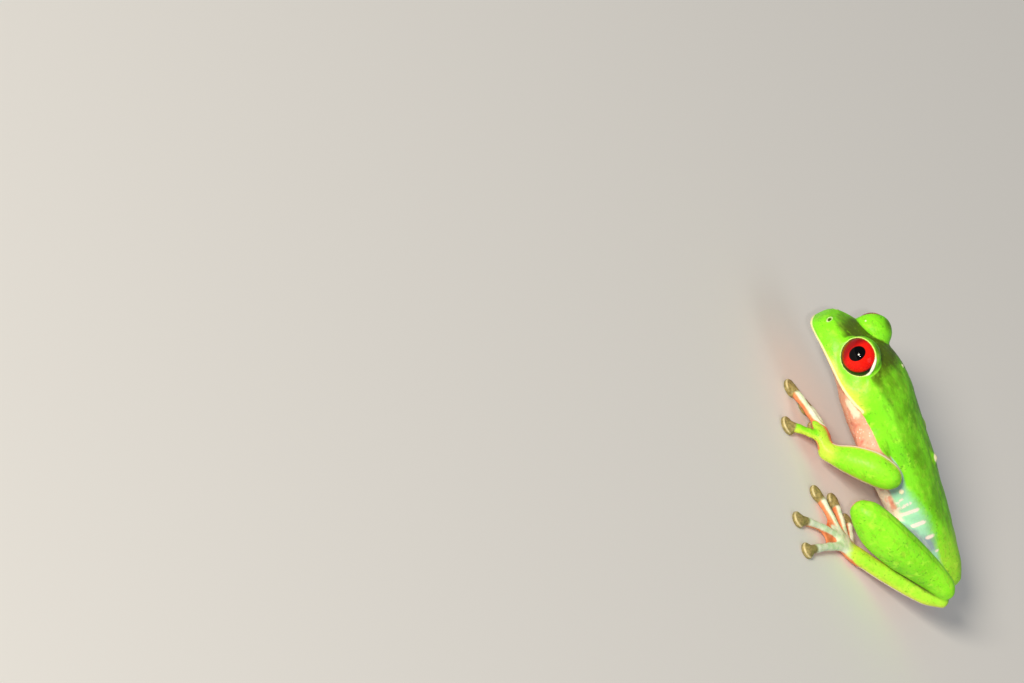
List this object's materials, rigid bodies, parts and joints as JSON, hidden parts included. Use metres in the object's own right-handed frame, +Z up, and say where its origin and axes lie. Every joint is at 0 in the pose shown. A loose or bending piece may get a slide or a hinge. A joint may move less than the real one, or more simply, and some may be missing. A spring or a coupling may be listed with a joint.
{
  "type": "red-eyed tree frog",
  "caption": "Life-size red-eyed tree frog, propped up on spread fingers and toes with its hind legs folded, head raised and eyes open.",
  "frame": {"origin": "on the floor, under the middle of the model's box", "axes": "+Z up, the frog looks along -Y, its left side is at +X"},
  "size_m": [0.0784, 0.061, 0.0212],
  "materials": {
    "green_skin": "moist smooth leaf-green skin with fine darker mottling",
    "throat_skin": "soft granular salmon and cream skin of the throat and underside",
    "orange_skin": "smooth orange skin of hands, feet and thighs, pale mint on top of the toes",
    "red_eye": "clear wet eye with a bright red iris and an upright black pupil"
  },
  "bodies": {
    "root": {"head": "green_skin", "lower_jaw": "throat_skin", "eye_left": "red_eye", "eye_right": "red_eye", "trunk": "green_skin", "upper_arm_left": "throat_skin", "upper_arm_right": "throat_skin", "forearm_left": "green_skin", "forearm_right": "green_skin", "hand_left": "orange_skin", "hand_right": "orange_skin", "thigh_left": "orange_skin", "thigh_right": "orange_skin", "shank_left": "green_skin", "shank_right": "green_skin", "tarsus_left": "green_skin", "tarsus_right": "green_skin", "foot_left": "orange_skin", "foot_right": "orange_skin"}
  },
  "joints": []
}
